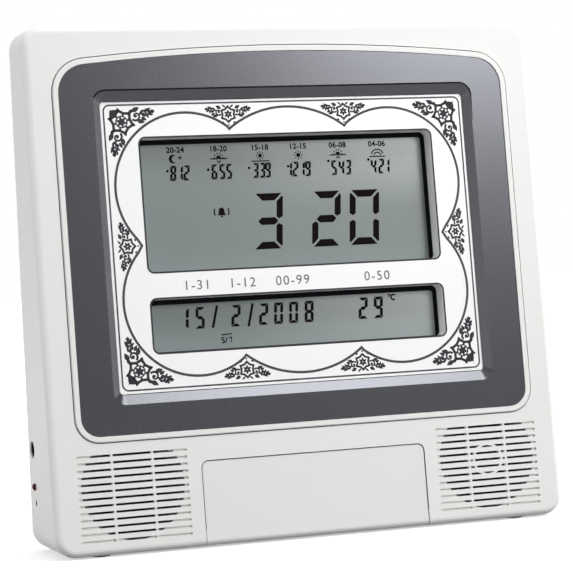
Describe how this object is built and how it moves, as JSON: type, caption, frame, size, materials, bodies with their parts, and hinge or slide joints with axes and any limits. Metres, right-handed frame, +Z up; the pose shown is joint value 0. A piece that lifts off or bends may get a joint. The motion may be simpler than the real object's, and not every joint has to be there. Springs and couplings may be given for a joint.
{
  "type": "prayer time clock",
  "caption": "Wedge-shaped digital clock with two display windows, slotted speaker grilles, a drop-down flap over push keys, wall keyholes and a battery bay",
  "frame": {"origin": "centre of the footprint, on the surface under the feet", "axes": "+X to the clock's left as it faces you, so to the viewer's right; -Y is the way the face looks; +Z up"},
  "size_m": [0.2816, 0.053, 0.269],
  "materials": {
    "housing": "off-white moulded plastic, fine satin",
    "flap": "off-white moulded plastic, satin",
    "bezel": "satin metallic grey lacquer on plastic",
    "panel": "smooth white printed panel",
    "inner_frame": "grey moulded plastic",
    "display_glass": "grey-green reflective display",
    "strip_rubber": "matt",
    "circuit": "green solder mask",
    "chip": "black moulded",
    "capacitor": "sleeved can",
    "bright_steel": "plated",
    "connector": "cream moulded",
    "key": "light grey moulded",
    "cone_paper": "black pulp",
    "cap_paper": "black pulp",
    "magnet": "dark ferrite",
    "black_plastic": "black",
    "lamp_lens": "red tinted lens",
    "reset_plastic": "dark grey",
    "cell": "plain sleeve",
    "foot_rubber": "matt",
    "cable": "insulated"
  },
  "bodies": {
    "case": {"front_shell": "housing", "rear_cover": "housing", "bezel_frame": "bezel", "face_panel": "panel", "display_frame": "inner_frame", "upper_display": "display_glass", "lower_display": "display_glass", "upper_contact_strips": "strip_rubber", "lower_contact_strips": "strip_rubber", "main_board": "circuit", "processor_chips": "chip", "capacitors": "capacitor", "timing_crystal": "bright_steel", "cable_connectors": "connector", "key_board": "circuit", "key_switches": "chip", "left_speaker_frame": "bright_steel", "right_speaker_frame": "bright_steel", "left_speaker_cone": "cone_paper", "right_speaker_cone": "cone_paper", "left_dust_cap": "cap_paper", "right_dust_cap": "cap_paper", "left_magnet": "magnet", "right_magnet": "magnet", "side_board": "circuit", "power_inlet": "black_plastic", "power_lamp": "lamp_lens", "reset_switch": "chip", "battery_1": "cell", "battery_2": "cell", "battery_3": "cell", "battery_springs": "bright_steel", "battery_contacts": "bright_steel", "rubber_feet": "foot_rubber", "cover_screws": "bright_steel", "speaker_screws": "bright_steel", "bezel_screws": "bright_steel", "frame_screws": "bright_steel", "board_screws": "bright_steel", "ribbon_cable": "cable", "left_speaker_lead": "cable", "right_speaker_lead": "cable", "battery_lead": "cable", "side_board_lead": "cable"},
    "flap": {"control_flap": "flap"},
    "reset": {"reset_button": "reset_plastic"},
    "door": {"battery_door": "housing"},
    "key_1_body": {"key_1": "key"},
    "key_2_body": {"key_2": "key"},
    "key_3_body": {"key_3": "key"},
    "key_4_body": {"key_4": "key"},
    "key_5_body": {"key_5": "key"},
    "key_6_body": {"key_6": "key"},
    "key_7_body": {"key_7": "key"},
    "key_8_body": {"key_8": "key"}
  },
  "joints": [
    {"name": "flap_hinge", "type": "hinge", "parent": "case", "child": "flap", "pos_m": [0, -0.02322, 0.00399], "axis": [1, 0, 0], "range_deg": [0, 95]},
    {"name": "key_1_press", "type": "slide", "parent": "case", "child": "key_1_body", "axis": [0, 0.996, -0.0889], "range_m": [0, 0.0005], "stiffness_N_per_m": 1200, "springref_m": -0.0003},
    {"name": "key_2_press", "type": "slide", "parent": "case", "child": "key_2_body", "axis": [0, 0.996, -0.0889], "range_m": [0, 0.0005], "stiffness_N_per_m": 1200, "springref_m": -0.0003},
    {"name": "key_3_press", "type": "slide", "parent": "case", "child": "key_3_body", "axis": [0, 0.996, -0.0889], "range_m": [0, 0.0005], "stiffness_N_per_m": 1200, "springref_m": -0.0003},
    {"name": "key_4_press", "type": "slide", "parent": "case", "child": "key_4_body", "axis": [0, 0.996, -0.0889], "range_m": [0, 0.0005], "stiffness_N_per_m": 1200, "springref_m": -0.0003},
    {"name": "key_5_press", "type": "slide", "parent": "case", "child": "key_5_body", "axis": [0, 0.996, -0.0889], "range_m": [0, 0.0005], "stiffness_N_per_m": 1200, "springref_m": -0.0003},
    {"name": "key_6_press", "type": "slide", "parent": "case", "child": "key_6_body", "axis": [0, 0.996, -0.0889], "range_m": [0, 0.0005], "stiffness_N_per_m": 1200, "springref_m": -0.0003},
    {"name": "key_7_press", "type": "slide", "parent": "case", "child": "key_7_body", "axis": [0, 0.996, -0.0889], "range_m": [0, 0.0005], "stiffness_N_per_m": 1200, "springref_m": -0.0003},
    {"name": "key_8_press", "type": "slide", "parent": "case", "child": "key_8_body", "axis": [0, 0.996, -0.0889], "range_m": [0, 0.0005], "stiffness_N_per_m": 1200, "springref_m": -0.0003},
    {"name": "reset_press", "type": "slide", "parent": "case", "child": "reset", "axis": [1, 0, 0], "range_m": [0, 0.0005], "stiffness_N_per_m": 800, "springref_m": -0.0003},
    {"name": "battery_door_hinge", "type": "hinge", "parent": "case", "child": "door", "pos_m": [0, 0.0254, 0.0131], "axis": [-1, 0, 0], "range_deg": [0, 85]}
  ]
}
